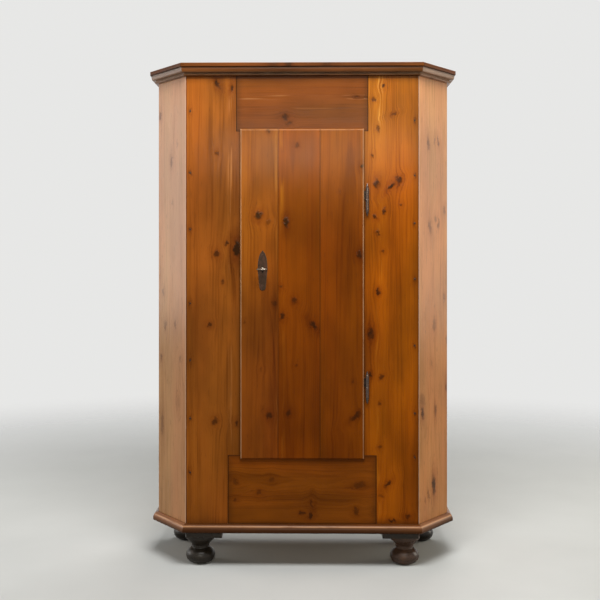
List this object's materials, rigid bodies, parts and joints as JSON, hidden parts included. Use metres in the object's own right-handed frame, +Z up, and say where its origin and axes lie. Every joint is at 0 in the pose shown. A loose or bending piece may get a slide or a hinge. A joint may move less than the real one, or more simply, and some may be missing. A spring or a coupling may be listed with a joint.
{
  "type": "single-door cupboard",
  "caption": "Pine linen cupboard with canted corners, moulded cornice, turned feet, shelves and a door on spindle hinges with an iron lock and key.",
  "frame": {"origin": "on the floor, in the middle of the space the closed cupboard takes up", "axes": "+Z up, +X to the right for someone who faces the door, +Y from the door to the back"},
  "size_m": [1.171, 0.485, 1.85],
  "materials": {
    "waxed_pine": "stained and waxed knotty pine, half gloss",
    "door_pine": "stained and waxed knotty pine, a shade darker, half gloss",
    "pale_pine": "waxed pine, paler, half gloss",
    "raw_pine": "bare aged pine, dull",
    "dark_wood": "black-brown painted wood, half gloss",
    "iron": "dark brown aged iron, half gloss",
    "key_iron": "handled iron, brighter where it rubs"
  },
  "bodies": {
    "carcase": {"back_board_1": "raw_pine", "back_board_2": "raw_pine", "back_board_3": "raw_pine", "back_board_4": "raw_pine", "base_moulding_cant_left": "waxed_pine", "base_moulding_cant_right": "waxed_pine", "base_moulding_front": "waxed_pine", "base_moulding_side_left": "waxed_pine", "base_moulding_side_right": "waxed_pine", "bottom_board_front": "raw_pine", "bottom_board_rear": "raw_pine", "bottom_rail": "waxed_pine", "cant_board_left": "pale_pine", "cant_board_right": "pale_pine", "cornice_cant_left": "waxed_pine", "cornice_cant_right": "waxed_pine", "cornice_front": "waxed_pine", "cornice_side_left": "waxed_pine", "cornice_side_right": "waxed_pine", "foot_block_front_left": "dark_wood", "foot_block_front_right": "dark_wood", "foot_block_rear_left": "dark_wood", "foot_block_rear_right": "dark_wood", "foot_front_left": "dark_wood", "foot_front_right": "dark_wood", "foot_rear_left": "dark_wood", "foot_rear_right": "dark_wood", "front_stile_left": "waxed_pine", "front_stile_right": "waxed_pine", "hinge_pintle_lower": "iron", "hinge_pintle_upper": "iron", "lock_strike": "iron", "shelf_1": "raw_pine", "shelf_2": "raw_pine", "shelf_3": "raw_pine", "shelf_cleat_1_left": "raw_pine", "shelf_cleat_1_right": "raw_pine", "shelf_cleat_2_left": "raw_pine", "shelf_cleat_2_right": "raw_pine", "shelf_cleat_3_left": "raw_pine", "shelf_cleat_3_right": "raw_pine", "side_board_left": "pale_pine", "side_board_right": "pale_pine", "top_board_front": "waxed_pine", "top_board_rear": "waxed_pine", "top_rail": "waxed_pine"},
    "door": {"door_board_left": "door_pine", "door_board_middle": "door_pine", "door_board_right": "door_pine", "door_batten_lower": "raw_pine", "door_batten_upper": "raw_pine", "hinge_knuckle_lower": "iron", "hinge_knuckle_upper": "iron", "escutcheon": "iron", "lock_case": "iron"},
    "bolt": {"lock_bolt": "key_iron"},
    "key": {"key": "key_iron"}
  },
  "joints": [
    {"name": "door_hinge", "type": "hinge", "parent": "carcase", "child": "door", "pos_m": [0.2385, -0.197, 1], "axis": [0, 0, 1], "range_deg": [0, 170]},
    {"name": "key_turn", "type": "hinge", "parent": "door", "child": "key", "pos_m": [-0.1447, -0.1875, 1.096], "axis": [0, -1, 0], "range_deg": [0, 180]},
    {"name": "bolt_slide", "type": "slide", "parent": "door", "child": "bolt", "axis": [-1, 0, 0], "range_m": [0, 0.012]}
  ],
  "couplings": [
    {"joint": "key_turn", "follows": "bolt_slide", "rad_per_m": 261.79}
  ]
}
